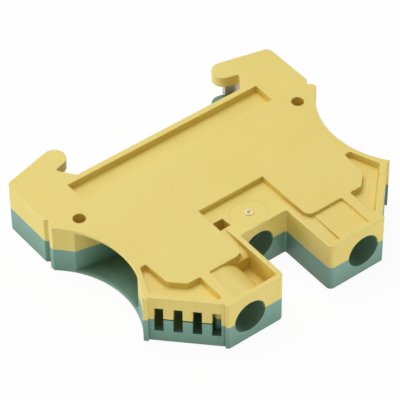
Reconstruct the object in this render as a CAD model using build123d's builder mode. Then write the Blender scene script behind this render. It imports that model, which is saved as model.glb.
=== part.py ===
from build123d import *
import math
import os

# Earth terminal block for a 35 mm rail, lying on its green side.
# X runs along the block, +Y from the screw towers to the rail, Z through the thickness.
# The origin is the middle of the rail seat, in the plane of the green outer face.

# Block
thickness = 9.9
parting = thickness / 2
plate_wall = 1.1
foot_plate = 2.1
edge_wall = 1.2
mouth_bevel = 0.55
body_half = 28.4
corner_round = 1.3
small_round = 0.4

# Rail seat and hooks
rail_width = 35.0
rail_play = 0.2
seat_half = rail_width / 2 + rail_play
seat_wall = 1.0
slot_root_x = 19.95
hook_tilt = math.radians(14)
tip_x = 18.35
tip_y = 5.75
tip_radius = 2.1

# Ear beside each conductor entry, and the concave entry side
side_end_y = -5.35
vee_depth = 0.6
vee_top = -5.9
vee_bottom = -6.3
ear_x = 28.5
ear_top = -7.0
ear_y = -7.9
waist_x = 22.85
waist_y = -20.1
rib_x = 26.3
rib_y = -30.1

# Towers and the gap between them
tower_front = -40.2
tower_outer = 16.35
tower_inner = 4.9
tower_round = 1.0
gap_back = -28.5
entry_mouth_x = 27.5
entry_mouth_y = -10.3

# Slotted facet between two ribs
outer_rib = 0.85
inner_rib = 0.65
rib_proud = 0.4
slot_count = 4
first_slot = 2.52
slot_pitch = 3.17
slot_width = 1.55
slot_height = 5.2
slot_depth = 1.8
comb_gap = 0.28
chamber_top = -23.6
chamber_mouth = -25.3

# Screw access
bore_x = 12.06
bore_radius = 3.15
bore_length = 5.0
head_bore_radius = 2.9
centre_bore_x = -0.95
centre_bore_radius = 3.1
centre_bore_length = 3.2
mouth_wall = 0.5
lining = 0.5
lining_gap = 0.05

# Conductor clamps
slide_gap = 0.3
yoke_length = 6.4
yoke_width = 6.9
yoke_strip = 1.2
yoke_window = 5.6
yoke_lug = 2.6
yoke_travel = 5.0
lug_lift = 1.8
clamp_thread = 4.0
thread_gap = 0.07
head_radius = 2.6
head_height = 2.7
head_clear = 0.2
driver_slot = 0.9
tip_chamfer = 0.45
tooth = 0.3
tooth_side = 0.6
tooth_turn = 45
yoke_tooth_pitch = 1.2

# Current bar
bar_under = -20.1
bar_strip = 2.0
bar_end = 16.0
bar_end_width = 4.1
bar_mid_half = 7.6
bar_mid_width = 6.0
bar_tooth_pitch = 1.5

# Contact saddle
saddle_strip = 1.5
leg_inside = 7.0
leg_strip = 1.0
leg_width = 2.5
saddle_foot = 17.3
saddle_foot_strip = 1.3

# Rail jaws, the plate that draws them up and its screw
jaw_strip = 1.7
jaw_width = 5.3
jaw_tip = 19.7
jaw_lip = 0.9
jaw_leg = 21.3
jaw_inner = 5.75
jaw_shift = 2.7
jaw_open = 6.9
jaw_closed = 1.0
bay_corner = 1.0
jaw_top = -4.8
fork_gap = 0.2
draw_half = 6.7
draw_strip = 1.5
draw_gap = 0.1
rail_thread = 3.5
rail_head_height = 2.5

# Marks and pockets in the yellow face
label_half = 20.35
label_near = -1.07
label_far = -5.68
label_depth = 0.95
recess_half = 6.84
recess_near = -19.7
recess_depth = 0.65
rim = 0.85
pocket_depth = 0.45
pocket_back = -31.9
pocket_front = -39.2
pocket_outer = 14.05
channel_edge = 7.1
nose_round = 1.5
deep_floor = 5.5
ramp_low = 8.1
chevron_depth = 1.3
chevron_round = 0.42
chevron_back = -24.2
chevron_back_in = 21.15
chevron_back_out = 22.35
chevron_elbow_x = 20.8
chevron_elbow_y = -29.55
chevron_land = 18.4
chevron_inner = 15.9
chevron_low = -38.0
chevron_tip_x = 16.6
chevron_tip_y = -37.8
chevron_facet_x = 24.6
chevron_facet_y = -29.85
key_hole = 2.0
key_hole_x = -5.72
key_hole_y = -24.3
key_hole_floor = 5.6
peg_hole_x = 23.47
peg_hole_y = -8.82
peg_hole_radius = 1.15
peg_hole_depth = 1.9
gate_x = -0.2
gate_y = -24.9
gate_radius = 0.75
gate_depth = 0.12

# Pegs that join the two halves
peg_radius = 1.0
peg_height = 1.8
peg_gap = 0.05
outer_peg_x = 26.1
outer_peg_y = -1.5
inner_peg_x = 6.7
inner_peg_y = -30.2

# Heights that follow from the sizes above
yoke_bottom = bar_under + yoke_window + yoke_strip
yoke_slot_end = yoke_bottom + slide_gap
lug_bottom = bar_under - bar_strip - lug_lift
lug_top = lug_bottom - yoke_lug
yoke_slot_top = lug_top - yoke_travel - slide_gap
yoke_slot_in = bore_x - yoke_length / 2 - slide_gap
yoke_slot_out = bore_x + yoke_length / 2 + slide_gap
chamber_in = bore_x + bore_radius + edge_wall + slide_gap
bar_top = bar_under - bar_strip
head_rest = bar_top - head_clear
clamp_tip = head_rest
clamp_head_top = tower_front + bore_length + slide_gap
rail_head_top = head_rest - rail_head_height
sleeve_radius = parting - pocket_depth
sleeve_foot = math.asin((deep_floor - parting) / sleeve_radius)
jaw_low = parting - jaw_width / 2
jaw_travel = jaw_open - jaw_closed
jaw_bottom = jaw_top + jaw_strip
jaw_outside = jaw_leg + jaw_strip
draw_top = jaw_bottom + draw_gap
draw_bottom = draw_top + draw_strip
shank_gap = rail_thread / 2 + slide_gap
bay_top = jaw_top - jaw_travel - slide_gap
bay_outer = jaw_outside + slide_gap
saddle_out = leg_inside + leg_strip
facet_length = math.hypot(rib_x - tower_outer, rib_y - tower_front)
facet_run = ((tower_outer - rib_x) / facet_length, (tower_front - rib_y) / facet_length)
facet_in = (facet_run[1], -facet_run[0])
bay_low = tip_y + jaw_travel
near = 0.01


def facet_point(run, inset):
    x = rib_x + facet_run[0] * run + facet_in[0] * inset
    y = rib_y + facet_run[1] * run + facet_in[1] * inset
    return (x, y)


def corners(shape, x, y):
    # The corners at (x, y) and at its mirror image
    return [v for v in shape.vertices() if abs(abs(v.X) - x) < near and abs(v.Y - y) < near]


def rounded(outline_sketch, x, y, radius):
    fillet(corners(outline_sketch, x, y), radius=radius)


# Outline of both halves, half of it drawn and the other half mirrored
bar_normal = (math.sin(hook_tilt), math.cos(hook_tilt))
bar_along = (math.cos(hook_tilt), -math.sin(hook_tilt))
under_start = (tip_x - tip_radius * bar_normal[0], tip_y - tip_radius * bar_normal[1])
tip_end = (tip_x - tip_radius * bar_along[0], tip_y - tip_radius * bar_along[1])
lower_start = (tip_x + tip_radius * bar_normal[0], tip_y + tip_radius * bar_normal[1])
slot_root_y = under_start[1] - (slot_root_x - under_start[0]) * math.tan(hook_tilt)
foot_corner_y = lower_start[1] - (body_half - lower_start[0]) * math.tan(hook_tilt)

with BuildSketch() as outline:
    with BuildLine():
        Polyline((0, 0), (seat_half, 0), (slot_root_x, slot_root_y), under_start)
        ThreePointArc(under_start, tip_end, lower_start)
        Polyline(
            lower_start,
            (body_half, foot_corner_y),
            (body_half, side_end_y),
            (body_half - vee_depth, vee_top),
            (body_half - vee_depth, vee_bottom),
            (ear_x, ear_top),
            (ear_x, ear_y),
        )
        entry_arc = ThreePointArc((ear_x, ear_y), (waist_x, waist_y), (rib_x, rib_y))
        Polyline(
            (rib_x, rib_y),
            facet_point(outer_rib, 0),
            facet_point(outer_rib, rib_proud),
            facet_point(facet_length - inner_rib, rib_proud),
            facet_point(facet_length - inner_rib, 0),
            (tower_outer, tower_front),
            (tower_inner, tower_front),
            (tower_inner, gap_back),
            (0, gap_back),
        )
        mirror(about=Plane.YZ)
    make_face()
    rounded(outline, body_half, foot_corner_y, corner_round)
    rounded(outline, slot_root_x, slot_root_y, small_round)
    rounded(outline, seat_half, 0, small_round)
    rounded(outline, tower_inner, tower_front, tower_round)
    rounded(outline, tower_inner, gap_back, small_round)

# Conductor entry and clamp space: its rail-side wall slants in from the ear
with BuildSketch() as conductor_space:
    with BuildLine():
        Polyline(
            (entry_mouth_x, entry_mouth_y),
            (yoke_slot_out, yoke_slot_end),
            (yoke_slot_in, yoke_slot_end),
            (yoke_slot_in, yoke_slot_top),
            (yoke_slot_out, yoke_slot_top),
            (yoke_slot_out, chamber_top),
            (rib_x, chamber_top),
            close=True,
        )
    make_face()
    mirror(about=Plane.YZ)

# Space behind the slotted facet, open to the conductor entry
with BuildSketch() as inset:
    add(outline.sketch)
    offset(amount=-edge_wall, mode=Mode.REPLACE)

with BuildSketch() as facet_chamber:
    with BuildLine():
        Polyline(
            (chamber_in, chamber_top),
            (rib_x, chamber_top),
            (rib_x, tower_front),
            (chamber_in, tower_front),
            close=True,
        )
    make_face()
    mirror(about=Plane.YZ)
    add(inset.sketch, mode=Mode.INTERSECT)
    with BuildLine():
        Polyline(
            (chamber_in, chamber_top),
            (rib_x, chamber_top),
            (rib_x, chamber_mouth),
            (chamber_in, chamber_mouth),
            close=True,
        )
    make_face()
    mirror(about=Plane.YZ)

# Bay of the rail jaws: their arms, their legs and the claws between the hook plates
with BuildSketch() as jaw_bay:
    with BuildLine():
        Polyline(
            (0, bay_top),
            (bay_outer - jaw_shift - bay_corner, bay_top),
            (bay_outer - jaw_shift, bay_top + bay_corner),
            (bay_outer, bay_top + bay_corner + jaw_travel),
            (bay_outer, bay_low),
            (leg_inside, bay_low),
            (leg_inside, -seat_wall),
            (0, -seat_wall),
        )
        mirror(about=Plane.YZ)
    make_face()


def hollow(profile, wall, upper):
    # Cuts a profile from the parting plane to within wall of the outer face
    with BuildSketch(Plane.XY.offset(parting if upper else wall)) as region:
        add(profile.sketch)
    extrude(region.sketch, amount=parting - wall, mode=Mode.SUBTRACT)


def bore(x, mouth_y, radius, end_y):
    with BuildSketch(Plane.XZ.offset(-mouth_y)) as mouth:
        with Locations((x, parting)):
            Circle(radius)
    extrude(mouth.sketch, amount=mouth_y - end_y, mode=Mode.SUBTRACT)


def lining_ring(x, mouth_y, radius, end_y, gap, mode):
    # The green half lines the bores behind the yellow half's front wall
    front = mouth_y + mouth_wall - gap
    with BuildSketch(Plane.XZ.offset(-front)) as ring:
        with Locations((x, parting)):
            Circle(radius + lining + gap)
            Circle(radius, mode=Mode.SUBTRACT)
    extrude(ring.sketch, amount=front - end_y + lining_gap - gap, mode=mode)


def bore_linings(gap, mode):
    for side in (-1, 1):
        end_y = tower_front + bore_length
        lining_ring(side * bore_x, tower_front, bore_radius, end_y, gap, mode)
    end_y = gap_back + centre_bore_length
    lining_ring(centre_bore_x, gap_back, centre_bore_radius, end_y, gap, mode)


def channel(x_low, x_high, y_low, y_high, width):
    # A square channel centred on the parting plane
    with BuildSketch(Plane.XY.offset(parting - width / 2)) as floor:
        with Locations(((x_low + x_high) / 2, (y_low + y_high) / 2)):
            Rectangle(x_high - x_low, y_high - y_low)
    extrude(floor.sketch, amount=width, mode=Mode.SUBTRACT)


def facet_plane(side):
    middle = facet_point(facet_length / 2, 0)
    outward = Vector(-facet_in[0] * side, -facet_in[1], 0)
    along = Vector(0, 0, 1).cross(outward)
    return Plane(origin=(middle[0] * side, middle[1], parting), x_dir=along, z_dir=outward)


def facet_slots(side):
    first = facet_length / 2 - first_slot
    with BuildSketch(facet_plane(side)) as slots:
        for number in range(slot_count):
            with Locations((side * (first - number * slot_pitch), 0)):
                Rectangle(slot_width, slot_height)
    extrude(slots.sketch, amount=-slot_depth, mode=Mode.SUBTRACT)


def bevel_mouths(shell, wall_z):
    # The plates thin towards the conductor entries
    rims = [
        e
        for e in shell.edges().filter_by(GeomType.CIRCLE)
        if abs(e.center().Z - wall_z) < small_round and abs(e.radius - entry_arc.radius) < small_round
    ]
    chamfer(rims, length=mouth_bevel)


def clamp_and_rail_spaces(upper):
    hollow(conductor_space, plate_wall, upper)
    hollow(facet_chamber, foot_plate, upper)
    hollow(jaw_bay, foot_plate, upper)
    for side in (-1, 1):
        bore(side * bore_x, tower_front, bore_radius, tower_front + bore_length)
        bore(side * bore_x, tower_front, head_bore_radius, yoke_slot_top)
        facet_slots(side)
    bore(centre_bore_x, gap_back, centre_bore_radius, gap_back + centre_bore_length)
    bore(centre_bore_x, gap_back, head_bore_radius, bar_top)
    bore(centre_bore_x, bar_top, shank_gap, bay_top)
    channel(-bar_mid_half, bar_mid_half, bar_top, bar_under, bar_mid_width)
    channel(-yoke_slot_in, yoke_slot_in, bar_top, bar_under, bar_end_width)
    channel(-saddle_out, saddle_out, bar_under, bar_under + saddle_strip, jaw_width)
    channel(leg_inside, saddle_out, bar_under, bay_top, leg_width)
    channel(-saddle_out, -leg_inside, bar_under, bay_top, leg_width)


peg_places = [
    (outer_peg_x, outer_peg_y),
    (-outer_peg_x, outer_peg_y),
    (inner_peg_x, inner_peg_y),
    (-inner_peg_x, inner_peg_y),
]

# Green half, which the block lies on
with BuildPart() as lower_shell:
    with BuildSketch(Plane.XY):
        add(outline.sketch)
    extrude(amount=parting)
    clamp_and_rail_spaces(False)
    bore_linings(0, Mode.ADD)
    bevel_mouths(lower_shell, plate_wall)
    with BuildSketch(Plane.XY.offset(parting)):
        with Locations(*peg_places):
            Circle(peg_radius)
    extrude(amount=peg_height)

# Chevron pocket beside each tower, which follows the rib and the facet
with BuildSketch() as chevrons:
    with BuildLine():
        Polyline(
            (chevron_back_in, chevron_back),
            (chevron_elbow_x, chevron_elbow_y),
            (chevron_land, pocket_back),
            (chevron_inner, pocket_back),
            (chevron_inner, chevron_low),
            (chevron_tip_x, chevron_tip_y),
            (chevron_facet_x, chevron_facet_y),
            (chevron_back_out, chevron_back),
            close=True,
        )
    make_face()
    fillet(chevrons.vertices(), radius=chevron_round)
    mirror(about=Plane.YZ)

# Yellow half, with the recesses of its outer face
with BuildPart() as upper_shell:
    with BuildSketch(Plane.XY.offset(parting)):
        add(outline.sketch)
    extrude(amount=parting)
    clamp_and_rail_spaces(True)
    bore_linings(lining_gap, Mode.SUBTRACT)
    bevel_mouths(upper_shell, thickness - plate_wall)
    with BuildSketch(Plane.XY.offset(parting)):
        with Locations(*peg_places):
            Circle(peg_radius + peg_gap)
    extrude(amount=peg_height + peg_gap, mode=Mode.SUBTRACT)

    # Label recess: a wedge, deep at the rail side and flush at the other
    with BuildSketch(Plane.YZ.offset(-label_half)):
        with BuildLine():
            Polyline(
                (label_near, thickness),
                (label_near, thickness - label_depth),
                (label_far, thickness),
                close=True,
            )
        make_face()
    extrude(amount=2 * label_half, mode=Mode.SUBTRACT)

    # Middle recess: a shallower wedge that runs out at the gap between the towers
    with BuildSketch(Plane.YZ.offset(-tower_inner - rim)):
        with BuildLine():
            Polyline(
                (recess_near, thickness),
                (recess_near, thickness - recess_depth),
                (gap_back, thickness),
                close=True,
            )
        make_face()
    extrude(amount=2 * (tower_inner + rim), mode=Mode.SUBTRACT)

    # Tower pockets and the channels along their rims
    with BuildSketch(Plane.XY.offset(thickness - pocket_depth)) as pockets:
        with BuildLine():
            Polyline(
                (tower_inner + rim, recess_near),
                (recess_half, recess_near),
                (recess_half, pocket_back),
                (pocket_outer, pocket_back),
                (pocket_outer, pocket_front),
                (tower_inner + rim, pocket_front),
                close=True,
            )
        make_face()
        mirror(about=Plane.YZ)
        rounded(pockets, recess_half, pocket_back, nose_round)
        rounded(pockets, pocket_outer, pocket_back, small_round)
        rounded(pockets, pocket_outer, pocket_front, small_round)
    extrude(amount=pocket_depth, mode=Mode.SUBTRACT)
    with BuildSketch(Plane.XY.offset(thickness - recess_depth)):
        with Locations(((tower_inner + rim + channel_edge) / 2, (pocket_back + pocket_front) / 2)):
            Rectangle(channel_edge - tower_inner - rim, pocket_back - pocket_front)
        for side in (-1, 1):
            with Locations(
                (side * (tower_inner + rim + recess_half) / 2, (recess_near + pocket_back) / 2)
            ):
                Rectangle(recess_half - tower_inner - rim, recess_near - pocket_back)
    extrude(amount=recess_depth, mode=Mode.SUBTRACT)

    # Deep half of the left tower pocket: it bares the round sleeve about the bore
    with BuildSketch(Plane.XZ.offset(-pocket_back)):
        with BuildLine():
            middle = (sleeve_foot + math.pi / 2) / 2
            foot_x = sleeve_radius * math.cos(sleeve_foot) - bore_x
            ThreePointArc(
                (foot_x, deep_floor),
                (
                    sleeve_radius * math.cos(middle) - bore_x,
                    sleeve_radius * math.sin(middle) + parting,
                ),
                (-bore_x, thickness - pocket_depth),
            )
            Polyline(
                (-bore_x, thickness - pocket_depth),
                (-bore_x, thickness),
                (-tower_inner - rim, thickness),
                (-tower_inner - rim, deep_floor),
                (foot_x, deep_floor),
            )
        make_face()
    extrude(amount=pocket_back - pocket_front, mode=Mode.SUBTRACT)

    # Ramp that leads from the middle recess into the deep pocket
    with BuildSketch(Plane.YZ.offset(-recess_half)):
        with BuildLine():
            Polyline(
                (pocket_back + rim, thickness),
                (pocket_back + rim, thickness - recess_depth),
                (pocket_back, ramp_low),
                (pocket_back, thickness),
                close=True,
            )
        make_face()
    extrude(amount=recess_half - tower_inner - rim, mode=Mode.SUBTRACT)

    # Chevron pockets, key hole, round holes and the gate mark
    with BuildSketch(Plane.XY.offset(thickness - chevron_depth)):
        add(chevrons.sketch)
    extrude(amount=chevron_depth, mode=Mode.SUBTRACT)
    with BuildSketch(Plane.XY.offset(key_hole_floor)):
        with Locations((key_hole_x, key_hole_y)):
            Rectangle(key_hole, key_hole)
    extrude(amount=thickness - key_hole_floor, mode=Mode.SUBTRACT)
    with BuildSketch(Plane.XY.offset(thickness - peg_hole_depth)):
        with Locations((peg_hole_x, peg_hole_y), (-peg_hole_x, peg_hole_y)):
            Circle(peg_hole_radius)
    extrude(amount=peg_hole_depth, mode=Mode.SUBTRACT)
    gate_floor = thickness - recess_depth * (gap_back - gate_y) / (gap_back - recess_near)
    with BuildSketch(Plane.XY.offset(gate_floor - gate_depth)):
        with Locations((gate_x, gate_y)):
            Circle(gate_radius)
            Circle(gate_radius / 2, mode=Mode.SUBTRACT)
    extrude(amount=gate_depth * 2)

    # The comb between the slots stands just clear of the green half
    for side in (-1, 1):
        with BuildSketch(facet_plane(side)):
            comb_middle = facet_length / 2 - first_slot - slot_pitch * (slot_count - 1) / 2
            with Locations((side * comb_middle, comb_gap / 2)):
                Rectangle(slot_pitch * (slot_count - 1), comb_gap)
        extrude(amount=-slot_depth / 2, mode=Mode.SUBTRACT)

# Current bar: narrow ends inside the clamp yokes, wider where the rail screw passes
with BuildPart() as current_bar:
    with BuildSketch(Plane.XY.offset(parting - bar_end_width / 2)):
        with Locations((0, (bar_top + bar_under) / 2)):
            Rectangle(2 * bar_end, bar_strip)
    extrude(amount=bar_end_width)
    with BuildSketch(Plane.XY.offset(parting - bar_mid_width / 2)):
        with Locations((0, (bar_top + bar_under) / 2)):
            Rectangle(2 * bar_mid_half, bar_strip)
    extrude(amount=bar_mid_width)
    bore(centre_bore_x, bar_top, shank_gap, bar_under)
    # Cross grooves that bite into the conductor
    with BuildSketch(Plane.XY.offset(parting - bar_end_width / 2)):
        for side in (-1, 1):
            for step in (-1, 0, 1):
                with Locations((side * bore_x + step * bar_tooth_pitch, bar_under)):
                    Rectangle(tooth_side, tooth_side, rotation=tooth_turn)
    extrude(amount=bar_end_width, mode=Mode.SUBTRACT)
    chamfer(current_bar.edges().filter_by(Axis.Z).group_by(Axis.X)[0], length=tooth)
    chamfer(current_bar.edges().filter_by(Axis.Z).group_by(Axis.X)[-1], length=tooth)

# Contact saddle: a hat under the bar whose feet the rail is clamped against
with BuildPart() as contact_saddle:
    with BuildSketch(Plane.XY.offset(parting - leg_width / 2)) as saddle_side:
        with BuildLine():
            Polyline(
                (0, bar_under),
                (saddle_out, bar_under),
                (saddle_out, -saddle_foot_strip),
                (saddle_foot, -saddle_foot_strip),
                (saddle_foot, 0),
                (leg_inside, 0),
                (leg_inside, bar_under + saddle_strip),
                (0, bar_under + saddle_strip),
            )
            mirror(about=Plane.YZ)
        make_face()
        rounded(saddle_side, leg_inside, 0, leg_strip)
    extrude(amount=leg_width)
    with BuildSketch(Plane.XY.offset(jaw_low)):
        for side in (-1, 1):
            with Locations((side * (saddle_out + saddle_foot) / 2, -saddle_foot_strip / 2)):
                Rectangle(saddle_foot - saddle_out, saddle_foot_strip)
        with Locations((0, bar_under + saddle_strip / 2)):
            Rectangle(2 * leg_inside, saddle_strip)
    extrude(amount=jaw_width)
    bore(centre_bore_x, bar_under, shank_gap, bar_under + saddle_strip)


def clamp_yoke(side):
    # Closed loop of bent strip with a threaded lug, toothed where it lifts the conductor
    with BuildPart() as yoke:
        with BuildSketch(Plane.YZ.offset(side * bore_x - yoke_length / 2)) as loop:
            with Locations(((lug_top + yoke_bottom) / 2, parting)):
                Rectangle(yoke_bottom - lug_top, yoke_width)
            fillet(loop.vertices(), radius=yoke_strip)
            window_low = lug_bottom
            window_high = yoke_bottom - yoke_strip
            with Locations(((window_low + window_high) / 2, parting)):
                Rectangle(
                    window_high - window_low, yoke_width - 2 * yoke_strip, mode=Mode.SUBTRACT
                )
            for step in (-1, 0, 1):
                with Locations((window_high, parting + step * yoke_tooth_pitch)):
                    Rectangle(tooth_side, tooth_side, rotation=tooth_turn)
        extrude(amount=yoke_length)
        with BuildSketch(Plane.XZ.offset(-lug_top)):
            with Locations((side * bore_x, parting)):
                Circle(clamp_thread / 2 + thread_gap)
        extrude(amount=lug_top - lug_bottom, mode=Mode.SUBTRACT)
        # The strip's two ends meet in a seam across the lug
        with BuildSketch(Plane.YZ.offset(side * bore_x - yoke_length / 2)):
            with Locations((lug_top, parting)):
                Rectangle(yoke_strip, thread_gap * 2)
        extrude(amount=yoke_length, mode=Mode.SUBTRACT)
    return yoke


def slotted_screw(x, head_top, height, thread, tip):
    # Cheese head, threaded shank with a chamfered tip and a driver slot
    with BuildPart() as screw:
        with BuildSketch(Plane.XZ.offset(-head_top)):
            with Locations((x, parting)):
                Circle(head_radius)
        extrude(amount=-height)
        chamfer(screw.edges().group_by(Axis.Y)[0], length=tooth)
        with BuildSketch(Plane.XZ.offset(-head_top - height)):
            with Locations((x, parting)):
                Circle(thread / 2)
        extrude(amount=head_top - tip + height)
        chamfer(screw.edges().group_by(Axis.Y)[-1], length=tip_chamfer)
        with BuildSketch(Plane.XZ.offset(-head_top)):
            with Locations((x, parting)):
                Rectangle(2 * head_radius + tooth, driver_slot)
        extrude(amount=-height / 2, mode=Mode.SUBTRACT)
    return screw


def rail_jaw(side):
    # Bent strip: an arm forked round the saddle's leg, a leg down the side and an inward claw
    with BuildPart() as jaw:
        with BuildSketch(Plane.XY.offset(jaw_low)) as profile:
            with BuildLine():
                Polyline(
                    (side * jaw_inner, jaw_top),
                    (side * jaw_outside, jaw_top),
                    (side * jaw_outside, jaw_open + jaw_strip),
                    (side * (jaw_leg - small_round), jaw_open + jaw_strip),
                    (side * jaw_tip, jaw_open + jaw_lip),
                    (side * jaw_tip, jaw_open),
                    (side * jaw_leg, jaw_open),
                    (side * jaw_leg, jaw_bottom),
                    (side * jaw_inner, jaw_bottom),
                    close=True,
                )
            make_face()
            rounded(profile, jaw_outside, jaw_top, jaw_strip)
            rounded(profile, jaw_outside, jaw_open + jaw_strip, jaw_strip)
            rounded(profile, jaw_tip, jaw_open + jaw_lip, jaw_lip / 2)
            rounded(profile, jaw_leg, jaw_bottom, small_round)
            rounded(profile, jaw_leg, jaw_open, small_round)
        extrude(amount=jaw_width)
        fork_end = saddle_out + jaw_shift + slide_gap
        with BuildSketch(Plane.XZ.offset(-jaw_top)):
            with Locations((side * (jaw_inner + fork_end) / 2, parting)):
                Rectangle(fork_end - jaw_inner, leg_width + 2 * fork_gap)
        extrude(amount=-jaw_strip, mode=Mode.SUBTRACT)
    return jaw


# Draw plate under both jaws, threaded for the rail screw
with BuildPart() as draw_plate:
    with BuildSketch(Plane.XZ.offset(-draw_top)):
        with Locations((0, parting)):
            Rectangle(2 * draw_half, jaw_width)
        with Locations((centre_bore_x, parting)):
            Circle(rail_thread / 2 + thread_gap, mode=Mode.SUBTRACT)
    extrude(amount=-draw_strip)
    chamfer(draw_plate.edges().filter_by(Axis.Y).group_by(Axis.X)[0], length=tooth)
    chamfer(draw_plate.edges().filter_by(Axis.Y).group_by(Axis.X)[-1], length=tooth)

os.makedirs("parts", exist_ok=True)


def write(piece, name):
    piece.label = name
    export_step(piece, "parts/" + name + ".step")


write(lower_shell.part, "lower_shell")
write(upper_shell.part, "upper_shell")
write(current_bar.part, "current_bar")
write(contact_saddle.part, "contact_saddle")
write(draw_plate.part, "draw_plate")
rail_screw = slotted_screw(
    centre_bore_x, rail_head_top, rail_head_height, rail_thread, draw_bottom
)
write(rail_screw.part, "rail_screw")
for side, name in ((-1, "left"), (1, "right")):
    write(rail_jaw(side).part, "rail_jaw_" + name)
    write(clamp_yoke(side).part, "clamp_yoke_" + name)
    clamp_screw = slotted_screw(
        side * bore_x, clamp_head_top, head_height, clamp_thread, clamp_tip
    )
    write(clamp_screw.part, "clamp_screw_" + name)
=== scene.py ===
import bpy
import bmesh
import math
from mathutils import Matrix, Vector


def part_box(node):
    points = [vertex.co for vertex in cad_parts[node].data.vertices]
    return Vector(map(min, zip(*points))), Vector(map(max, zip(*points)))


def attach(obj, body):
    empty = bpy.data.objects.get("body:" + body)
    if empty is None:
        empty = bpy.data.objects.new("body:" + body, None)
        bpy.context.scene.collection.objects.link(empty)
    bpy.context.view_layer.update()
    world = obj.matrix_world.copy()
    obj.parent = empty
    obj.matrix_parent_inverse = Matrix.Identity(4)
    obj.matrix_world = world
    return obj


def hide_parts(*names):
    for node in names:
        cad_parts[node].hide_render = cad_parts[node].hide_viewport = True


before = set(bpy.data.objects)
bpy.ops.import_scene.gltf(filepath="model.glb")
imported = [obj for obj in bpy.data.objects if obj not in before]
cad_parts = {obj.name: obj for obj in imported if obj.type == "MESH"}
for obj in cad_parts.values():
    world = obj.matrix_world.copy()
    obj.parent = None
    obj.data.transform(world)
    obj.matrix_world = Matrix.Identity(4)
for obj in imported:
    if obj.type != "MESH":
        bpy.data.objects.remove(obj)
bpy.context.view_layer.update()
mm = 0.001
tolerance = 0.02 * mm  # two points nearer than this count as one place
print("frame loaded, nodes:", len(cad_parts))


def linear(red, green, blue):
    # colours are written from 0 to 255 as a picture shows them
    return (*[((c / 255 + 0.055) / 1.055) ** 2.4 for c in (red, green, blue)], 1.0)


def addObject(name, data):
    thing = bpy.data.objects.new(name, data)
    bpy.context.collection.objects.link(thing)
    return thing


# Small helpers for node trees

mixSockets = {  # a Mix node's first side, second side and result, by what it mixes
    "RGBA": (6, 7, 2),
    "VECTOR": (4, 5, 1),
}


def fill(node, values):
    for label, value in values.items():
        node.inputs[label].default_value = value
    return node


def calculate(tree, operation, *values):
    # one step of arithmetic; each value is a number or another node's output
    node = tree.nodes.new("ShaderNodeMath")
    node.operation = operation
    for socket, value in zip(node.inputs, values):
        if isinstance(value, float):
            socket.default_value = value
        else:
            tree.links.new(value, socket)
    return node.outputs["Value"]


def mixed(tree, kind, factor, first, second):
    mix = tree.nodes.new("ShaderNodeMix")
    mix.data_type = kind
    tree.links.new(factor, mix.inputs["Factor"])
    firstSocket, secondSocket, result = mixSockets[kind]
    for index, value in ((firstSocket, first), (secondSocket, second)):
        if isinstance(value, tuple):
            mix.inputs[index].default_value = value
        else:
            tree.links.new(value, mix.inputs[index])
    return mix.outputs[result]


def spread(tree, value, low, high, fromLow=0.3, fromHigh=0.7):
    # stretches a value over the range low to high; a noise keeps mostly within 0.3 to 0.7
    node = fill(tree.nodes.new("ShaderNodeMapRange"), {
        "From Min": fromLow,
        "From Max": fromHigh,
        "To Min": low,
        "To Max": high,
    })
    tree.links.new(value, node.inputs["Value"])
    return node.outputs["Result"]


def turnedDown(tree, mask, amount):
    # the mask's 1 becomes the amount
    return spread(tree, mask, 0.0, amount, fromLow=0.0, fromHigh=1.0)


# Shader groups that several finishes share

def newGroup(name, inputs, outputs):
    group = bpy.data.node_groups.new(name, "ShaderNodeTree")
    for label, value in inputs:
        kind = "NodeSocketVector" if value is None else "NodeSocketFloat"
        socket = group.interface.new_socket(name=label, in_out="INPUT", socket_type=kind)
        if value is not None:
            socket.default_value = value
    for label, kind in outputs:
        group.interface.new_socket(name=label, in_out="OUTPUT", socket_type="NodeSocket" + kind)
    return group, group.nodes.new("NodeGroupInput"), group.nodes.new("NodeGroupOutput")


def buildMouldGrain():
    # fine spark-eroded texture with slow cloudy changes of tone, as on moulded polyamide
    inputs = [
        ("Grain Scale", 5200.0),
        ("Grain Depth", 0.12),
        ("Cloud Scale", 70.0),
        ("Normal", None),
    ]
    outputs = [("Cloud", "Float"), ("Speckle", "Float"), ("Normal", "Vector")]
    group, start, end = newGroup("mouldGrain", inputs, outputs)
    make, join = group.nodes.new, group.links.new
    place = make("ShaderNodeTexCoord")
    grain = fill(make("ShaderNodeTexNoise"), {"Detail": 3.0})
    cloud = fill(make("ShaderNodeTexNoise"), {"Detail": 4.0, "Distortion": 0.6})
    bump = fill(make("ShaderNodeBump"), {"Distance": 0.02 * mm})
    join(place.outputs["Object"], grain.inputs["Vector"])
    join(place.outputs["Object"], cloud.inputs["Vector"])
    join(start.outputs["Grain Scale"], grain.inputs["Scale"])
    join(start.outputs["Cloud Scale"], cloud.inputs["Scale"])
    join(start.outputs["Grain Depth"], bump.inputs["Strength"])
    join(start.outputs["Normal"], bump.inputs["Normal"])
    join(grain.outputs["Fac"], bump.inputs["Height"])
    join(cloud.outputs["Fac"], end.inputs["Cloud"])
    join(grain.outputs["Fac"], end.inputs["Speckle"])
    join(bump.outputs["Normal"], end.inputs["Normal"])
    return group


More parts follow.
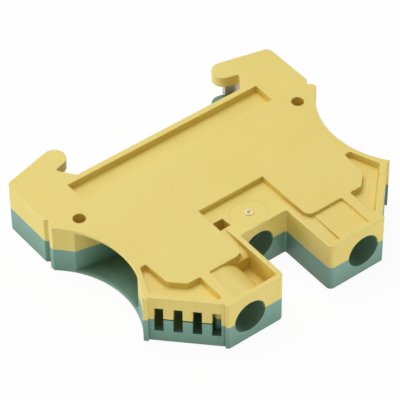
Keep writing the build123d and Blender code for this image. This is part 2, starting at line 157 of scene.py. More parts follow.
def buildSoftEdge():
    # rounds the light over an edge; the mask is 1 along it and 0 on the flats
    inputs = [("Width", 0.18 * mm), ("Sharpness", 9.0)]
    outputs = [("Edge", "Float"), ("Normal", "Vector")]
    group, start, end = newGroup("softEdge", inputs, outputs)
    make, join = group.nodes.new, group.links.new
    soft = make("ShaderNodeBevel")
    soft.samples = 6
    surface = make("ShaderNodeNewGeometry")
    dot = make("ShaderNodeVectorMath")
    dot.operation = "DOT_PRODUCT"
    join(start.outputs["Width"], soft.inputs["Radius"])
    join(soft.outputs["Normal"], dot.inputs[0])
    join(surface.outputs["Normal"], dot.inputs[1])
    turned = calculate(group, "SUBTRACT", 1.0, dot.outputs["Value"])
    edge = calculate(group, "MULTIPLY", turned, start.outputs["Sharpness"])
    edge.node.use_clamp = True
    join(edge, end.inputs["Edge"])
    join(soft.outputs["Normal"], end.inputs["Normal"])
    return group


def buildRecessShade():
    # masks for painted shade in hollows: Recess is 0 on open faces and 1 deep in hollows; Exposed
    # falls to 0 in any inner corner
    inputs = [("Reach", 8 * mm), ("Open", 0.55), ("Closed", 0.15)]
    outputs = [("Recess", "Float"), ("Exposed", "Float")]
    group, start, end = newGroup("recessShade", inputs, outputs)
    make, join = group.nodes.new, group.links.new
    shelter = make("ShaderNodeAmbientOcclusion")
    shelter.samples = 8
    recess = fill(make("ShaderNodeMapRange"), {"To Min": 1.0, "To Max": 0.0})
    exposed = fill(make("ShaderNodeMapRange"), {"From Min": 0.45, "From Max": 0.65})
    join(start.outputs["Reach"], shelter.inputs["Distance"])
    join(start.outputs["Closed"], recess.inputs["From Min"])
    join(start.outputs["Open"], recess.inputs["From Max"])
    for mask, label in ((recess, "Recess"), (exposed, "Exposed")):
        join(shelter.outputs["AO"], mask.inputs["Value"])
        join(mask.outputs["Result"], end.inputs[label])
    return group


def buildMetalGrain():
    # drawn lines along one axis and small dull patches, as on plated strip
    inputs = [("Line Scale", 900.0), ("Patch Scale", 600.0), ("Depth", 0.25), ("Normal", None)]
    outputs = [("Lines", "Float"), ("Patches", "Float"), ("Normal", "Vector")]
    group, start, end = newGroup("metalGrain", inputs, outputs)
    make, join = group.nodes.new, group.links.new
    place = make("ShaderNodeTexCoord")
    stretch = fill(make("ShaderNodeMapping"), {"Scale": (0.12, 0.12, 3.0)})
    lines = fill(make("ShaderNodeTexNoise"), {"Detail": 3.0})
    patches = fill(make("ShaderNodeTexNoise"), {"Detail": 5.0})
    bump = fill(make("ShaderNodeBump"), {"Distance": 0.02 * mm})
    join(place.outputs["Object"], stretch.inputs["Vector"])
    join(stretch.outputs["Vector"], lines.inputs["Vector"])
    join(place.outputs["Object"], patches.inputs["Vector"])
    join(start.outputs["Line Scale"], lines.inputs["Scale"])
    join(start.outputs["Patch Scale"], patches.inputs["Scale"])
    join(start.outputs["Depth"], bump.inputs["Strength"])
    join(start.outputs["Normal"], bump.inputs["Normal"])
    join(lines.outputs["Fac"], bump.inputs["Height"])
    join(lines.outputs["Fac"], end.inputs["Lines"])
    join(patches.outputs["Fac"], end.inputs["Patches"])
    join(bump.outputs["Normal"], end.inputs["Normal"])
    return group


mouldGrain = buildMouldGrain()
softEdge = buildSoftEdge()
recessShade = buildRecessShade()
metalGrain = buildMetalGrain()


def newMaterial(name):
    material = bpy.data.materials.new(name)
    material.use_nodes = True
    return material, material.node_tree.nodes["Principled BSDF"]


def placeGroup(tree, group, values):
    node = tree.nodes.new("ShaderNodeGroup")
    node.node_tree = group
    return fill(node, values)


# Moulded polyamide halves

yellowFinish = {
    "body": linear(232, 211, 114),
    "cloudy": linear(228, 205, 106),
    # painted highlight along the outer edges
    "edge": linear(244, 230, 154),
    "edgeHighlightAmount": 0.9,
    # painted shade: the recess colour darkens hollows, the deepest colour their deepest parts
    "recess": linear(234, 202, 90),
    "recessShadeAmount": 0.7,
    "recessOpen": 0.6,
    "deepestShade": linear(150, 116, 40),
    "deepestShadeAmount": 0.15,
    "roughness": (0.42, 0.52),
    "grainDepth": 0.16,
    "edgeRound": 0.2 * mm,
}
greenFinish = {
    "body": linear(118, 163, 147),
    "cloudy": linear(113, 157, 141),
    # painted highlight along the outer edges
    "edge": linear(150, 186, 174),
    "edgeHighlightAmount": 0.4,
    # painted shade: the recess colour darkens hollows, the deepest colour their deepest parts
    "recess": linear(74, 110, 86),
    "recessShadeAmount": 0.9,
    "recessOpen": 0.9,
    "deepestShade": linear(52, 78, 60),
    "deepestShadeAmount": 0.3,
    # painted shade on the inside faces that look up
    "insideShadeAmount": 0.6,
    "roughness": (0.44, 0.54),
    "grainDepth": 0.16,
    "edgeRound": 0.2 * mm,
}
polyamide = {
    "IOR": 1.5,
    "Specular IOR Level": 0.65,
    "Subsurface Weight": 0.08,
    "Subsurface Radius": (1.0, 0.6, 0.25),
    "Subsurface Scale": 0.6 * mm,
}


def insideShadeMask(tree, recess, amount):
    # painted shade: the half lies open side up, so its faces that look up are inside, in
    # half-light, and are painted darker
    place = tree.nodes.new("ShaderNodeTexCoord")
    split = tree.nodes.new("ShaderNodeSeparateXYZ")
    tree.links.new(place.outputs["Normal"], split.inputs["Vector"])
    looksUp = spread(tree, split.outputs["Z"], 0.0, amount, fromLow=0.5, fromHigh=1.0)
    sheltered = spread(tree, recess, 0.0, 1.0, fromLow=0.0, fromHigh=0.2)
    return calculate(tree, "MULTIPLY", looksUp, sheltered)


def plasticMaterial(name, finish):
    material, shader = newMaterial(name)
    tree, join = material.node_tree, material.node_tree.links.new
    grain = placeGroup(tree, mouldGrain, {"Grain Depth": finish["grainDepth"]})
    edge = placeGroup(tree, softEdge, {"Width": finish["edgeRound"]})
    hollow = placeGroup(tree, recessShade, {"Open": finish["recessOpen"]})
    recess, exposed = hollow.outputs["Recess"], hollow.outputs["Exposed"]
    # inner corners stay crisp, only outer edges are rounded
    surface = tree.nodes.new("ShaderNodeNewGeometry")
    rounded = mixed(tree, "VECTOR", exposed, surface.outputs["Normal"], edge.outputs["Normal"])
    join(rounded, grain.inputs["Normal"])
    # mask for the painted edge highlight, kept to outer edges
    edgeHighlightMask = calculate(tree, "MULTIPLY", edge.outputs["Edge"], exposed)
    cloud = spread(tree, grain.outputs["Cloud"], 0.0, 1.0)
    colour = mixed(tree, "RGBA", cloud, finish["body"], finish["cloudy"])
    layers = [
        # painted highlight along outer edges
        (turnedDown(tree, edgeHighlightMask, finish["edgeHighlightAmount"]), finish["edge"]),
        # painted shade in hollows, darkest deep inside them
        (turnedDown(tree, recess, finish["recessShadeAmount"]), finish["recess"]),
        (spread(tree, recess, 0.0, finish["deepestShadeAmount"], 0.85, 1.0), finish["deepestShade"]),
    ]
    # painted shade on the up-facing inside faces
    if "insideShadeAmount" in finish:
        layers.append((insideShadeMask(tree, recess, finish["insideShadeAmount"]), finish["recess"]))
    for mask, tone in layers:
        colour = mixed(tree, "RGBA", mask, colour, tone)
    join(colour, shader.inputs["Base Color"])
    join(spread(tree, grain.outputs["Speckle"], *finish["roughness"]), shader.inputs["Roughness"])
    join(grain.outputs["Normal"], shader.inputs["Normal"])
    fill(shader, polyamide)
    return material, shader


def paintOver(tree, shader, mask, tone):
    under = shader.inputs["Base Color"].links[0].from_socket
    tree.links.new(mixed(tree, "RGBA", mask, under, tone), shader.inputs["Base Color"])


def splitPlace(tree):
    place = tree.nodes.new("ShaderNodeTexCoord")
    split = tree.nodes.new("ShaderNodeSeparateXYZ")
    tree.links.new(place.outputs["Object"], split.inputs["Vector"])
    return split.outputs


def distanceTo(tree, first, second, centre):
    # how far a point lies from an axis, in the plane of the two coordinates given
    flat = tree.nodes.new("ShaderNodeCombineXYZ")
    tree.links.new(first, flat.inputs["X"])
    tree.links.new(second, flat.inputs["Y"])
    away = tree.nodes.new("ShaderNodeVectorMath")
    away.operation = "DISTANCE"
    away.inputs[1].default_value = (*centre, 0.0)
    tree.links.new(flat.outputs["Vector"], away.inputs[0])
    return away.outputs["Value"]


driverBores = {
    # on both sides or one, axis in x and z, radius, mouth and end in y
    "places": [
        (True, (12.06 * mm, 4.95 * mm), 3.2 * mm, -41 * mm, -33 * mm),
        (False, (-0.95 * mm, 4.95 * mm), 3.15 * mm, -29 * mm, -24 * mm),
    ],
    # painted light: the paler colour put inside the bores
    "tone": linear(120, 154, 130),
    "amount": 0.8,
}


def addBoreLight(material, shader):
    # painted light: the driver bores catch light from the front, so they are painted paler than
    # the other hollows
    tree = material.node_tree
    place = splitPlace(tree)
    sideways = calculate(tree, "ABSOLUTE", place["X"])
    masks = []
    for isTwin, axis, radius, mouth, end in driverBores["places"]:
        away = distanceTo(tree, sideways if isTwin else place["X"], place["Z"], axis)
        within = calculate(tree, "LESS_THAN", away, radius)
        pastMouth = calculate(tree, "GREATER_THAN", place["Y"], mouth)
        beforeEnd = calculate(tree, "LESS_THAN", place["Y"], end)
        along = calculate(tree, "MULTIPLY", pastMouth, beforeEnd)
        masks.append(calculate(tree, "MULTIPLY", within, along))
    mask = calculate(tree, "MAXIMUM", *masks)
    paintOver(tree, shader, turnedDown(tree, mask, driverBores["amount"]), driverBores["tone"])


gateMark = {
    "centre": (-0.2 * mm, -24.9 * mm),
    "above": 8.5 * mm,
    "ringRadius": 3.3 * mm,
    "ringLine": 0.13 * mm,
    "ringTone": linear(200, 176, 86),
    "ringAmount": 0.25,
    "ringBump": {"Distance": 0.04 * mm, "Strength": 0.5},
    "markRadius": 0.68 * mm,
    "markTone": linear(244, 234, 186),
    "pipRadius": 0.2 * mm,
    "pipTone": linear(176, 160, 118),
}


def addGateMark(material, shader):
    # the pale broken-off gate with its dark pip, and the insert's faint round line about it
    tree, join = material.node_tree, material.node_tree.links.new
    place = splitPlace(tree)
    away = distanceTo(tree, place["X"], place["Y"], gateMark["centre"])
    above = calculate(tree, "GREATER_THAN", place["Z"], gateMark["above"])
    ring = calculate(tree, "COMPARE", away, gateMark["ringRadius"], gateMark["ringLine"])
    mark = calculate(tree, "LESS_THAN", away, gateMark["markRadius"])
    pip = calculate(tree, "LESS_THAN", away, gateMark["pipRadius"])
    ring, mark, pip = (calculate(tree, "MULTIPLY", mask, above) for mask in (ring, mark, pip))
    paintOver(tree, shader, turnedDown(tree, ring, gateMark["ringAmount"]), gateMark["ringTone"])
    paintOver(tree, shader, mark, gateMark["markTone"])
    paintOver(tree, shader, pip, gateMark["pipTone"])
    bump = fill(tree.nodes.new("ShaderNodeBump"), gateMark["ringBump"])
    join(ring, bump.inputs["Height"])
    join(shader.inputs["Normal"].links[0].from_socket, bump.inputs["Normal"])
    join(bump.outputs["Normal"], shader.inputs["Normal"])


yellowPlastic, yellowShader = plasticMaterial("yellowPlastic", yellowFinish)
addGateMark(yellowPlastic, yellowShader)
greenPlastic, greenShader = plasticMaterial("greenPlastic", greenFinish)
addBoreLight(greenPlastic, greenShader)

# Plated metals

zincFinish = {
    "bright": linear(222, 212, 198),
    "dull": linear(202, 188, 168),
    "rubbed": linear(226, 220, 210),
    "rubbedAmount": 0.6,
    "roughness": (0.5, 0.66),
    "metallic": 0.5,
    "depth": 0.3,
    "edgeRound": 0.16 * mm,
}
tinFinish = {
    "bright": linear(214, 206, 186),
    "dull": linear(188, 178, 156),
    "rubbed": linear(226, 222, 210),
    "rubbedAmount": 0.6,
    "roughness": (0.26, 0.44),
    "metallic": 0.95,
    "depth": 0.2,
    "edgeRound": 0.14 * mm,
}
screwFinish = {
    "bright": linear(204, 204, 202),
    "dull": linear(172, 170, 166),
    "rubbed": linear(228, 228, 226),
    "rubbedAmount": 0.6,
    "roughness": (0.26, 0.42),
    "metallic": 0.95,
    "depth": 0.2,
    "edgeRound": 0.1 * mm,
}


def metalMaterial(name, finish):
    material, shader = newMaterial(name)
    tree, join = material.node_tree, material.node_tree.links.new
    grain = placeGroup(tree, metalGrain, {"Depth": finish["depth"]})
    edge = placeGroup(tree, softEdge, {"Width": finish["edgeRound"]})
    join(edge.outputs["Normal"], grain.inputs["Normal"])
    patches = spread(tree, grain.outputs["Patches"], 0.0, 1.0)
    colour = mixed(tree, "RGBA", patches, finish["bright"], finish["dull"])
    rubbed = turnedDown(tree, edge.outputs["Edge"], finish["rubbedAmount"])
    colour = mixed(tree, "RGBA", rubbed, colour, finish["rubbed"])
    join(colour, shader.inputs["Base Color"])
    join(spread(tree, grain.outputs["Lines"], *finish["roughness"]), shader.inputs["Roughness"])
    join(grain.outputs["Normal"], shader.inputs["Normal"])
    fill(shader, {"Metallic": finish["metallic"]})
    return material


zincPlate = metalMaterial("zincPlate", zincFinish)
tinPlate = metalMaterial("tinPlate", tinFinish)
screwPlate = metalMaterial("screwPlate", screwFinish)
print("materials made")


# Pieces: each is its CAD node's shape, merged and smoothed over its round faces

solidMesh = {
    "mergeWithin": 0.0005 * mm,
    "sharpAngle": math.radians(30),
    "rimFrom": 9.895 * mm,
    "rimAngle": math.radians(2),
}


def mergedCopy(node):
    shape = bmesh.new()
    shape.from_mesh(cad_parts[node].data)
    bmesh.ops.remove_doubles(shape, verts=shape.verts, dist=solidMesh["mergeWithin"])
    bmesh.ops.recalc_face_normals(shape, faces=shape.faces)
    return shape


def blankFrom(shape, name):
    # an object for the bare shape, for modifiers to work on
    mesh = bpy.data.meshes.new(name + "Blank")
    shape.to_mesh(mesh)
    shape.free()
    if "custom_normal" in mesh.attributes:
        mesh.attributes.remove(mesh.attributes["custom_normal"])
    return addObject(name + "Blank", mesh)


def pieceFrom(blank, name):
    # the modifiers are worked into the piece's mesh, so none is left on it
    ready = blank.evaluated_get(bpy.context.evaluated_depsgraph_get())
    mesh = bpy.data.meshes.new_from_object(ready)
    mesh.name = name
    bpy.data.objects.remove(blank)
    return addObject(name, mesh)


def solidPiece(name, node, body, material, finishShape=None):
    shape = mergedCopy(node)
    if finishShape:
        finishShape(shape)
        within = solidMesh["mergeWithin"]
        bmesh.ops.remove_doubles(shape, verts=shape.verts, dist=within)
        bmesh.ops.dissolve_degenerate(shape, edges=shape.edges, dist=within)
        bmesh.ops.recalc_face_normals(shape, faces=shape.faces)
    for face in shape.faces:
        face.smooth = True
    for edge in shape.edges:
        # about the level top face even a slight slope starts with an edge
        isRim = min(v.co.z for v in edge.verts) > solidMesh["rimFrom"]
        limit = solidMesh["rimAngle" if isRim else "sharpAngle"]
        edge.smooth = edge.calc_face_angle(0) < limit
    blank = blankFrom(shape, name)
    blank.data.materials.append(material)
    # flat faces keep their own normals beside the rounded corners
    weigh = blank.modifiers.new("weigh", "WEIGHTED_NORMAL")
    weigh.mode = "FACE_AREA_WITH_ANGLE"
    weigh.keep_sharp = True
    piece = pieceFrom(blank, name)
    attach(piece, body)
    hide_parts(node)


# Finer forms of the halves: thin lips at the conductor entries and squarer, deeper recesses

entryMouth = {
    "arcCentre": (-38.941 * mm, -20.144 * mm),
    "arcRadius": 16.091 * mm,
    "arcSlack": 0.1 * mm,
    "ends": (-25.35 * mm, -10.55 * mm),
    "lipDepth": 0.6 * mm,
    "lowerLipCad": (0.5 * mm, 2.15 * mm),
    "lowerLip": 0.3 * mm,
    "lowerLipSlope": 0.45,
    "upperLipCad": (7.7 * mm, 7.9 * mm),
    "upperLip": 9.35 * mm,
}
yellowFace = {
    "height": 9.9 * mm,
    # label recess
    "labelHalf": 20.35 * mm,
    "labelRail": -1.07 * mm,
    "labelNear": -5.68 * mm,
    "labelCadDepth": 0.95 * mm,
    "labelDepth": 1.4 * mm,
    # middle recess, the towers' pockets and the channel between them
    "middleHalf": 14.2 * mm,
    "middleEnds": (-39.4 * mm, -19.5 * mm),
    "middleCadDepth": 0.7 * mm,
    "middleGain": 1.8,
    "pocketBack": -31.85 * mm,
    "pocketCadDepth": 0.45 * mm,
    "pocketGain": 1.4,
    "channelCadEdge": 7.1 * mm,
    "channelEdge": 8.0 * mm,
    "channelStart": (7.2 * mm, -32.0 * mm),
    "channelFoot": 9.0 * mm,
    "noseX": (6.8 * mm, 8.4 * mm),
    "noseY": -30.3 * mm,
    "noseFoot": 9.13 * mm,
    # heights of the ramp beside the deep pocket, as y and z
    "rampTop": (-31.05 * mm, 8.73 * mm),
    "rampFoot": (-31.9 * mm, 8.1 * mm),
    # square hole and the slope of the recess floor about it
    "keyHoleX": (-6.8 * mm, -5.7 * mm),
    "keyHoleY": (-25.4 * mm, -23.2 * mm),
    "keyHoleCad": (-4.72 * mm, -23.3 * mm),
    "keyHoleCorner": (-4.35 * mm, -23.0 * mm),
    "keyHoleFoot": 5 * mm,
    "wedgeEnds": (-19.7 * mm, -28.5 * mm),
    "wedgeDepth": 1.17 * mm,
    # round holes near the hooks
    "holeCentre": (23.47 * mm, -8.82 * mm),
    "holeRadius": 1.2 * mm,
    "holeCadFloor": 8.0 * mm,
    "holeFloor": 7.1 * mm,
    # outer walls of the triangular pockets
    "pocketFloor": 8.6 * mm,
    "slopeFrom": -20 * mm,
    "slopeAlong": (24.4 * mm, -30.05 * mm),
    "slopeWidth": 0.5 * mm,
    "slopeReach": 0.6 * mm,
}


def depthInsideMouth(vertex):
    # how far a point of either side lies behind the concave entry edge; None away from it
    mouth = entryMouth
    low, high = mouth["ends"]
    if not low < vertex.co.y < high:
        return None
    centreX, centreY = mouth["arcCentre"]
    fromCentre = math.hypot(-abs(vertex.co.x) - centreX, vertex.co.y - centreY)
    depth = fromCentre - mouth["arcRadius"]
    return max(depth, 0.0) if -mouth["arcSlack"] < depth < mouth["lipDepth"] else None


def finishGreenHalf(shape):
    low, high = entryMouth["lowerLipCad"]
    for vertex in shape.verts:
        depth = depthInsideMouth(vertex)
        if depth is not None and low < vertex.co.z < high:
            vertex.co.z = entryMouth["lowerLip"] + entryMouth["lowerLipSlope"] * depth


def squareLabelRecess(shape):
    # the CAD's wedge gets a level floor and an upright near wall
    face = yellowFace
    top, rail, near = face["height"], face["labelRail"], face["labelNear"]
    floorHeight = top - face["labelDepth"]

    def corner(side, y, z):
        wanted = Vector((side * face["labelHalf"], y, z))
        return min(shape.verts, key=lambda v: (v.co - wanted).length)

    railTop = [corner(side, rail, top) for side in (-1, 1)]
    railLow = [corner(side, rail, top - face["labelCadDepth"]) for side in (-1, 1)]
    nearTop = [corner(side, near, top) for side in (-1, 1)]
    oldPlaces = [set(railLow + nearTop)]
    oldPlaces += [set(end) for end in zip(railTop, railLow, nearTop)]
    old = [f for f in shape.faces if any(set(f.verts) <= place for place in oldPlaces)]
    bmesh.ops.delete(shape, geom=old, context="FACES_ONLY")
    loose = [e for e in shape.edges if not e.link_faces]
    bmesh.ops.delete(shape, geom=loose, context="EDGES")
    for vertex in railLow:
        vertex.co.z = floorHeight
    nearLow = [shape.verts.new((v.co.x, near, floorHeight)) for v in nearTop]
    shape.faces.new((railLow[0], railLow[1], nearLow[1], nearLow[0]))
    shape.faces.new((nearLow[0], nearLow[1], nearTop[1], nearTop[0]))
    for end in zip(railTop, railLow, nearLow, nearTop):
        shape.faces.new(end)


def recessHeight(x, y, z):
    # the new height of a point on the floor of the middle recess or of a tower's pocket
    face = yellowFace
    depth = face["height"] - z
    isLedge = abs(depth - face["pocketCadDepth"]) < tolerance
    isNose = face["noseX"][0] < abs(x) < face["noseX"][1] and y < face["noseY"]
    if isLedge and isNose and x < 0:
        (topY, topZ), (footY, footZ) = face["rampTop"], face["rampFoot"]
        return topZ + (footZ - topZ) * max(0.0, (topY - y) / (topY - footY))
    if isLedge and isNose and y > face["pocketBack"]:
        return face["noseFoot"]
    if y < face["pocketBack"]:
        startX, startY = face["channelStart"]
        if x < 0:
            return z
        if x < startX and y > startY:
            return face["channelFoot"]
        if isLedge:
            return face["height"] - depth * face["pocketGain"]
    lowX, highX = face["keyHoleX"]
    lowY, highY = face["keyHoleY"]
    if lowX < x < highX and lowY < y < highY:
        railY, gapY = face["wedgeEnds"]
        return face["height"] - face["wedgeDepth"] * (y - gapY) / (railY - gapY)
    return face["height"] - depth * face["middleGain"]


def deepenMiddle(vertex):
    face = yellowFace
    low, high = face["middleEnds"]
    x, y, z = vertex.co
    isFloor = tolerance < face["height"] - z < face["middleCadDepth"]
    if isFloor and abs(x) < face["middleHalf"] and low < y < high:
        vertex.co.z = recessHeight(x, y, z)
        if abs(x - face["channelCadEdge"]) < tolerance and y < face["pocketBack"]:
            vertex.co.x = face["channelEdge"]


def deepenHoles(vertex):
    face = yellowFace
    holeX, holeY = face["holeCentre"]
    x, y, z = vertex.co
    isInside = math.hypot(abs(x) - holeX, y - holeY) < face["holeRadius"]
    if isInside and abs(z - face["holeCadFloor"]) < tolerance:
        vertex.co.z = face["holeFloor"]


def thinUpperLip(vertex):
    low, high = entryMouth["upperLipCad"]
    if depthInsideMouth(vertex) is not None and low < vertex.co.z < high:
        vertex.co.z = entryMouth["upperLip"]


def widenKeyHole(vertex):
    # the square hole grows towards the block's middle and towards the rail
    face = yellowFace
    (cadX, cadY), (newX, newY) = face["keyHoleCad"], face["keyHoleCorner"]
    lowX, lowY = face["keyHoleX"][0], face["keyHoleY"][0]
    x, y, z = vertex.co
    isNearX, isNearY = lowX < x < cadX + tolerance, lowY < y < cadY + tolerance
    if not (isNearX and isNearY and z > face["keyHoleFoot"]):
        return
    if abs(x - cadX) < tolerance:
        vertex.co.x = newX
    if abs(y - cadY) < tolerance:
        vertex.co.y = newY


def slopeOuterWall(vertex):
    # the outer wall of the triangular pockets leans inwards towards its foot
    face = yellowFace
    x, y, z = vertex.co
    isFloor = abs(z - face["pocketFloor"]) <= tolerance
    if not isFloor or abs(x) < face["middleHalf"] or y > face["slopeFrom"]:
        return
    lineX, lineY = face["slopeAlong"]
    diagonal = math.sqrt(0.5)
    outwards = (abs(x) - lineX - y + lineY) * diagonal
    share = min(max(1 + outwards / face["slopeReach"], 0.0), 1.0)
    shift = face["slopeWidth"] * share * diagonal
    vertex.co.x -= math.copysign(shift, x)
    vertex.co.y += shift


def finishYellowHalf(shape):
    squareLabelRecess(shape)
    for vertex in shape.verts:
        deepenMiddle(vertex)
        deepenHoles(vertex)
        thinUpperLip(vertex)
        widenKeyHole(vertex)
        slopeOuterWall(vertex)


solidPiece("yellowHalf", "upper_shell", "block", yellowPlastic, finishYellowHalf)
solidPiece("greenHalf", "lower_shell", "block", greenPlastic, finishGreenHalf)
solidPiece("currentBar", "current_bar", "block", tinPlate)
solidPiece("contactSaddle", "contact_saddle", "block", zincPlate)
solidPiece("drawPlate", "draw_plate", "draw_plate", zincPlate)
for side in ("left", "right"):
    jaw, yoke = "rail_jaw_" + side, "clamp_yoke_" + side
    solidPiece("railJaw_" + side, jaw, jaw, zincPlate)
    solidPiece("clampYoke_" + side, yoke, yoke, zincPlate)
print("shells and strips made")


# Screws: the shank is drawn in to the thread's root and a spiral ridge is wound on it

def buildThreadTree():
    tree = bpy.data.node_groups.new("screwThread", "GeometryNodeTree")
    sockets = [
        ("Geometry", "INPUT", "Geometry", None),
        ("Root Radius", "INPUT", "Float", 1.7 * mm),
        ("Ridge", "INPUT", "Float", 0.3 * mm),
        ("Turns", "INPUT", "Float", 10.0),
        ("Length", "INPUT", "Float", 7 * mm),
        ("Start", "INPUT", "Vector", None),
        ("Finish", "INPUT", "Material", None),
        ("Geometry", "OUTPUT", "Geometry", None),
    ]
    for label, way, kind, value in sockets:
        socketType = "NodeSocket" + kind
        socket = tree.interface.new_socket(name=label, in_out=way, socket_type=socketType)
        if value is not None:
            socket.default_value = value
    make, join = tree.nodes.new, tree.links.new
    start, end = make("NodeGroupInput"), make("NodeGroupOutput")
    spiral = fill(make("GeometryNodeCurveSpiral"), {"Resolution": 28})
    join(start.outputs["Turns"], spiral.inputs["Rotations"])
    join(start.outputs["Root Radius"], spiral.inputs["Start Radius"])
    join(start.outputs["Root Radius"], spiral.inputs["End Radius"])
    join(start.outputs["Length"], spiral.inputs["Height"])
    profile = fill(make("GeometryNodeCurvePrimitiveCircle"), {"Resolution": 4})
    join(start.outputs["Ridge"], profile.inputs["Radius"])
    sweep = fill(make("GeometryNodeCurveToMesh"), {"Fill Caps": True})
    join(spiral.outputs["Curve"], sweep.inputs["Curve"])
    join(profile.outputs["Curve"], sweep.inputs["Profile Curve"])
    turn = fill(make("GeometryNodeTransform"), {"Rotation": (math.radians(-90), 0.0, 0.0)})
    join(sweep.outputs["Mesh"], turn.inputs["Geometry"])
    join(start.outputs["Start"], turn.inputs["Translation"])
    flat = fill(make("GeometryNodeSetShadeSmooth"), {"Shade Smooth": False})
    join(turn.outputs["Geometry"], flat.inputs["Geometry"])
    both = make("GeometryNodeJoinGeometry")
    join(flat.outputs["Geometry"], both.inputs["Geometry"])
    join(start.outputs["Geometry"], both.inputs["Geometry"])
    real = make("GeometryNodeRealizeInstances")
    join(both.outputs["Geometry"], real.inputs["Geometry"])
    paint = make("GeometryNodeSetMaterial")
    join(real.outputs["Geometry"], paint.inputs["Geometry"])
    join(start.outputs["Finish"], paint.inputs["Material"])
    join(paint.outputs["Geometry"], end.inputs["Geometry"])
    return tree


threadTree = buildThreadTree()

screwMesh = {
    "flatWithin": math.radians(0.5),
    "shankReach": 1.02,
    "bevelFrom": math.radians(50),
    "bevelSteps": 2,
    "sharpAngle": math.radians(35),
}
clampScrew = {
    "threadRadius": 2.0 * mm,
    "depth": 0.3 * mm,
    "pitch": 0.7 * mm,
    "headHeight": 2.7 * mm,
    "plainNeck": 0.5 * mm,
    "plainEnd": 0.9 * mm,
    "edgeRound": 0.08 * mm,
}
railScrew = {
    "threadRadius": 1.75 * mm,
    "depth": 0.26 * mm,
    "pitch": 0.6 * mm,
    "headHeight": 2.5 * mm,
    "plainNeck": 4.5 * mm,
    "plainEnd": 0.8 * mm,
    "edgeRound": 0.08 * mm,
}


def setInput(modifier, label, value):
    for item in modifier.node_group.interface.items_tree:
        if item.name == label and item.in_out == "INPUT":
            modifier[item.identifier] = value


def screwPiece(name, node, body, sizes):
    low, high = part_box(node)
    axisX, axisZ = (low[0] + high[0]) / 2, (low[2] + high[2]) / 2
    shankStart = low[1] + sizes["headHeight"]
    root = sizes["threadRadius"] - sizes["depth"]
    drawnIn = root / sizes["threadRadius"]
    shape = mergedCopy(node)
    flatWithin = screwMesh["flatWithin"]
    bmesh.ops.dissolve_limit(shape, angle_limit=flatWithin, verts=shape.verts, edges=shape.edges)
    for vertex in shape.verts:
        acrossX, acrossZ = vertex.co.x - axisX, vertex.co.z - axisZ
        isShank = math.hypot(acrossX, acrossZ) < sizes["threadRadius"] * screwMesh["shankReach"]
        if isShank and vertex.co.y > shankStart - tolerance:
            vertex.co.x = axisX + acrossX * drawnIn
            vertex.co.z = axisZ + acrossZ * drawnIn
    bevelEdges = [
        edge for edge in shape.edges
        if len(edge.link_faces) == 2 and edge.calc_face_angle(0) > screwMesh["bevelFrom"]
    ]
    width, steps = sizes["edgeRound"], screwMesh["bevelSteps"]
    bmesh.ops.bevel(shape, geom=bevelEdges, offset=width, segments=steps, affect="EDGES")
    blank = blankFrom(shape, name)
    blank.data.shade_smooth()
    blank.data.set_sharp_from_angle(angle=screwMesh["sharpAngle"])
    length = high[1] - shankStart - sizes["plainEnd"] - sizes["plainNeck"]
    thread = blank.modifiers.new("thread", "NODES")
    thread.node_group = threadTree
    setInput(thread, "Root Radius", root)
    setInput(thread, "Ridge", sizes["depth"])
    setInput(thread, "Turns", length / sizes["pitch"])
    setInput(thread, "Length", length)
    setInput(thread, "Start", (axisX, shankStart + sizes["plainNeck"], axisZ))
    setInput(thread, "Finish", screwPlate)
    piece = pieceFrom(blank, name)
    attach(piece, body)
    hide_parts(node)


screwPiece("clampScrew_left", "clamp_screw_left", "clamp_screw_left", clampScrew)
screwPiece("clampScrew_right", "clamp_screw_right", "clamp_screw_right", clampScrew)
screwPiece("railScrew", "rail_screw", "rail_screw", railScrew)
print("screws made")


# Floor, light and camera

white = (1.0, 1.0, 1.0, 1.0)
studio = {
    "floorSize": 4.0,
    "floorHeight": -0.03 * mm,
    "floorTone": linear(250, 250, 250),
    "floorRoughness": 0.9,
    "floorShows": 0.93,
    "worldStrength": 0.21,
    "aim": (0, -0.016, 0.005),
    "lamps": [
        # name, place, width, height, watts
        ("overheadSoftbox", (-0.02, 0.14, 0.60), 0.5, 0.5, 2.75),
        ("leftSoftbox", (-0.50, 0.30, 0.16), 0.2, 0.2, 1.0),
        ("backSoftbox", (0.30, 0.42, 0.40), 0.4, 0.4, 0.18),
        ("leftStrip", (-0.40, 0.24, 0.016), 0.3, 0.03, 0.38),
        ("frontStrip", (0.0, -0.47, 0.016), 0.3, 0.03, 0.47),
        ("rightStrip", (0.30, -0.38, 0.016), 0.3, 0.03, 0.4),
    ],
}
view = {
    "place": (-0.1844456, -0.2543043, 0.2992058),
    "turn": (45.7395, 0.5165, -37.6874),
    "lens": 222.614,
    "sensorWidth": 36.0,
}


def seenDirectly(tree):
    # 1 for what the camera sees straight or in a gloss, 0 for light on its way elsewhere
    rays = tree.nodes.new("ShaderNodeLightPath")
    return calculate(tree, "MAXIMUM", rays.outputs["Is Camera Ray"], rays.outputs["Is Glossy Ray"])


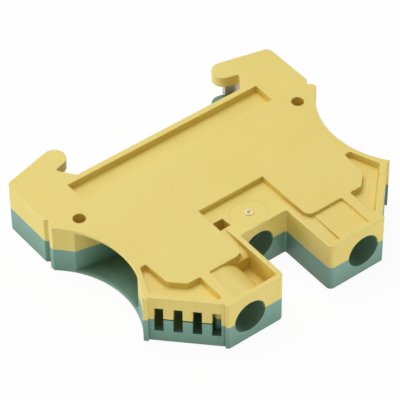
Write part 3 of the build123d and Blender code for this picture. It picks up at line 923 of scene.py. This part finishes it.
def mixShaders(tree, factor, first, second, output):
    mix = tree.nodes.new("ShaderNodeMixShader")
    for socket, value in zip(mix.inputs, (factor, first, second)):
        tree.links.new(value, socket)
    tree.links.new(mix.outputs["Shader"], tree.nodes[output].inputs["Surface"])


def makeFloor():
    place = (0, 0, studio["floorHeight"])
    bpy.ops.mesh.primitive_plane_add(size=studio["floorSize"], location=place)
    floor = bpy.context.object
    floor.name = "floor"
    material, shader = newMaterial("paleFloor")
    tree = material.node_tree
    fill(shader, {"Base Color": studio["floorTone"], "Roughness": studio["floorRoughness"]})
    glow = fill(tree.nodes.new("ShaderNodeEmission"), {"Color": white})
    share = calculate(tree, "MULTIPLY", seenDirectly(tree), studio["floorShows"])
    mixShaders(tree, share, shader.outputs[0], glow.outputs[0], "Material Output")
    floor.data.materials.append(material)


def makeWorld():
    world = bpy.data.worlds.new("studioAir")
    bpy.context.scene.world = world
    world.use_nodes = True
    tree = world.node_tree
    air = fill(tree.nodes["Background"], {"Color": white, "Strength": studio["worldStrength"]})
    backdrop = fill(tree.nodes.new("ShaderNodeBackground"), {"Color": white})
    mixShaders(tree, seenDirectly(tree), air.outputs[0], backdrop.outputs[0], "World Output")


def makeLamps():
    # the strips stand low: they light the outer sides and leave the recess walls darker
    for name, place, width, height, watts in studio["lamps"]:
        data = bpy.data.lights.new(name, "AREA")
        data.shape = "RECTANGLE"
        data.size, data.size_y = width, height
        data.energy = watts
        lamp = addObject(name, data)
        lamp.location = place
        towardsBlock = Vector(studio["aim"]) - Vector(place)
        lamp.rotation_euler = towardsBlock.to_track_quat("-Z", "Y").to_euler()
        lamp.visible_camera = False


def makeCamera():
    data = bpy.data.cameras.new("view")
    data.sensor_width = view["sensorWidth"]
    data.lens = view["lens"]
    camera = addObject("view", data)
    camera.location = view["place"]
    camera.rotation_euler = [math.radians(angle) for angle in view["turn"]]
    bpy.context.scene.camera = camera


makeFloor()
makeWorld()
makeLamps()
makeCamera()
bpy.context.scene.view_settings.view_transform = "Standard"
print("studio made")
